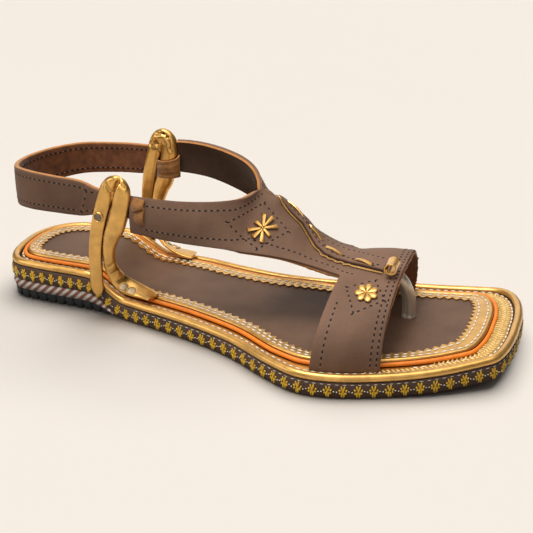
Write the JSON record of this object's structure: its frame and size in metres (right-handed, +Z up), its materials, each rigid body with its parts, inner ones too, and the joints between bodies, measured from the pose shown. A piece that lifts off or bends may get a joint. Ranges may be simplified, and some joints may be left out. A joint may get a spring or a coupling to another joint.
{
  "type": "leather sandal",
  "caption": "Flat square-toed leather sandal for the right foot, with ball strap, toe post, heel strap on padded gold loops and a gold-edged sole.",
  "frame": {"origin": "on the floor under the middle of the shoe's bounding box", "axes": "+X from heel to toe, +Y to the inner (medial) side, +Z up"},
  "size_m": [0.2788, 0.1144, 0.0854],
  "materials": {
    "brown_leather": "matte",
    "gold_leather": "foiled, satin",
    "orange_cord": "waxed cord",
    "striped_band": "matte",
    "rubber": "matte",
    "suede": "napped",
    "pewter_leather": "foiled, satin",
    "dull_metal": "aged"
  },
  "bodies": {
    "root": {"outsole": "brown_leather", "insole": "brown_leather", "upper": "brown_leather", "heel_strap": "brown_leather", "instep_overlay": "brown_leather", "topsole": "gold_leather", "edge_piping": "gold_leather", "insole_binding": "gold_leather", "loop_lateral": "gold_leather", "loop_medial": "gold_leather", "bead": "gold_leather", "star_lateral": "gold_leather", "star_medial": "gold_leather", "flower_lateral": "gold_leather", "flower_medial": "gold_leather", "edge_cord": "orange_cord", "heel_band": "striped_band", "heel_tread": "rubber", "keeper_medial": "suede", "tab_lateral": "suede", "toe_post": "pewter_leather", "leg_rivet": "dull_metal", "foot_rivet_lateral_1": "dull_metal", "foot_rivet_lateral_2": "dull_metal", "foot_rivet_medial_1": "dull_metal", "foot_rivet_medial_2": "dull_metal"}
  },
  "joints": []
}
